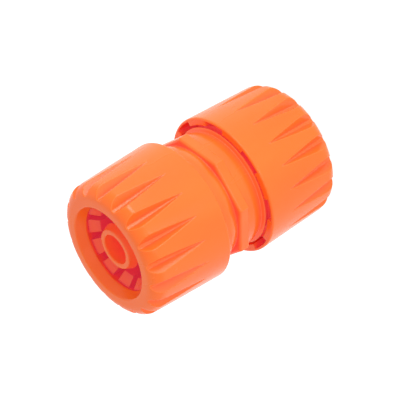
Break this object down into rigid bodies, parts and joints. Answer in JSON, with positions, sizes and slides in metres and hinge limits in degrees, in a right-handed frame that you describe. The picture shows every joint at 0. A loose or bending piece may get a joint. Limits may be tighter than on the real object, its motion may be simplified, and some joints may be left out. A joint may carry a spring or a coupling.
{
  "type": "garden hose joiner",
  "caption": "Straight joiner for two garden hose ends: barbed tails on a common body, clamped by fluted screw nuts with finger rings.",
  "frame": {"origin": "middle of the lower nut's mouth ring, on the surface that the joiner stands on", "axes": "+Z along the bore, from the lower nut up to the upper nut; +X near the middle of one flat of the wrench flange"},
  "size_m": [0.0364, 0.0364, 0.0587],
  "materials": {
    "body_plastic": "satin moulded plastic, bright orange",
    "nut_plastic": "satin moulded plastic, bright orange",
    "ring_plastic": "satin moulded plastic, bright orange"
  },
  "bodies": {
    "body": {"joiner_body": "body_plastic"},
    "upper_ring": {"upper_finger_ring": "ring_plastic"},
    "upper_nut": {"upper_nut": "nut_plastic"},
    "lower_ring": {"lower_finger_ring": "ring_plastic"},
    "lower_nut": {"lower_nut": "nut_plastic"}
  },
  "joints": [
    {"name": "upper_ring_slide", "type": "slide", "parent": "body", "child": "upper_ring", "axis": [0, 0, 1], "range_m": [0, 0.00525]},
    {"name": "upper_nut_turn", "type": "hinge", "parent": "upper_ring", "child": "upper_nut", "pos_m": [0, 0, 0.0487], "axis": [0, 0, 1], "range_deg": [0, 540]},
    {"name": "lower_ring_slide", "type": "slide", "parent": "body", "child": "lower_ring", "axis": [0, 0, -1], "range_m": [0, 0.00525]},
    {"name": "lower_nut_turn", "type": "hinge", "parent": "lower_ring", "child": "lower_nut", "pos_m": [0, 0, 0.01], "axis": [0, 0, -1], "range_deg": [0, 540]}
  ],
  "couplings": [
    {"joint": "upper_ring_slide", "follows": "upper_nut_turn", "m_per_rad": 0.000557},
    {"joint": "lower_ring_slide", "follows": "lower_nut_turn", "m_per_rad": 0.000557}
  ]
}
